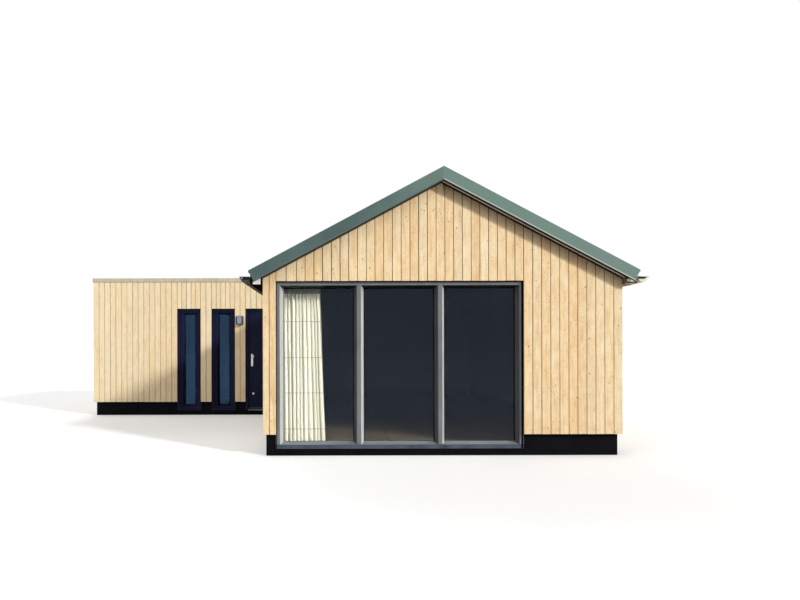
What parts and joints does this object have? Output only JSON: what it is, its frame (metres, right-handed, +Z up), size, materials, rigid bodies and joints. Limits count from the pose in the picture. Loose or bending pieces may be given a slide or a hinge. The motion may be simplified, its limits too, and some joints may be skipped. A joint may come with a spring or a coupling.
{
  "type": "bungalow",
  "caption": "Timber-clad bungalow: gabled main volume with a glazed front screen, and a flat-roofed annex set back on its left with tall windows and a hinged entrance door.",
  "frame": {"origin": "on the ground, under the middle of the main volume", "axes": "+X to the right of the glazed front, +Y from the front to the back, +Z up"},
  "size_m": [9.7363, 9.42, 3.9241],
  "materials": {
    "concrete": "concrete with a near-black coating",
    "plinth_board": "near-black plinth board",
    "floor_tile": "matt brown floor tiles",
    "wall_lining": "grey-blue painted lining",
    "cladding_wood": "untreated vertical softwood boards",
    "roof_panel": "painted roof panel",
    "roof_metal": "grey-green coated sheet",
    "eaves_paint": "cream painted eaves",
    "zinc": "weathered zinc",
    "roof_membrane": "matt roofing membrane",
    "annex_trim": "satin roof edge trim",
    "screen_paint": "satin anthracite",
    "pane": "clear insulating glass",
    "window_paint": "satin blue-black",
    "door_paint": "satin blue-black",
    "threshold_metal": "dull mill finish",
    "handle_metal": "brushed",
    "curtain_cloth": "plain woven, gathered",
    "rail_metal": "white",
    "lamp_metal": "dark bracket",
    "lamp_glass": "opal glass"
  },
  "bodies": {
    "house": {"main_slab": "concrete", "annex_slab": "concrete", "main_end_plinths": "plinth_board", "main_side_plinths": "plinth_board", "annex_end_plinths": "plinth_board", "annex_left_plinth": "plinth_board", "main_floor": "floor_tile", "annex_floor": "floor_tile", "main_front_piers": "wall_lining", "main_front_gable": "wall_lining", "main_back_wall": "wall_lining", "main_right_wall": "wall_lining", "main_left_walls": "wall_lining", "main_left_lintel": "wall_lining", "annex_front_piers": "wall_lining", "annex_front_lintel": "wall_lining", "annex_left_wall": "wall_lining", "annex_back_wall": "wall_lining", "main_front_cladding": "cladding_wood", "main_back_cladding": "cladding_wood", "main_side_claddings": "cladding_wood", "annex_front_cladding": "cladding_wood", "annex_back_cladding": "cladding_wood", "annex_left_cladding": "cladding_wood", "main_roof_left": "roof_panel", "main_roof_right": "roof_panel", "roof_sheet_left": "roof_metal", "roof_sheet_right": "roof_metal", "ridge_cap": "roof_metal", "verge_trims_left": "roof_metal", "verge_trims_right": "roof_metal", "eaves_boxes": "eaves_paint", "gutters": "zinc", "downpipes": "zinc", "annex_roof": "roof_membrane", "annex_trim_ends": "annex_trim", "annex_trim_left": "annex_trim", "screen_frame": "screen_paint", "screen_glass": "pane", "annex_window_glass": "pane", "annex_window_frames": "window_paint", "annex_window_sashes": "window_paint", "door_frame": "window_paint", "door_threshold": "threshold_metal", "frame_hinges": "threshold_metal", "curtain": "curtain_cloth", "curtain_rail": "rail_metal", "lamp_bracket": "lamp_metal", "lamp_shade": "lamp_glass"},
    "entrance_door": {"door_leaf": "door_paint", "door_handles": "handle_metal", "leaf_hinges": "threshold_metal"}
  },
  "joints": [
    {"name": "entrance_door_hinge", "type": "hinge", "parent": "house", "child": "entrance_door", "pos_m": [-2.6215, 0.871, 1.23], "axis": [0, 0, -1], "range_deg": [0, 90]}
  ]
}
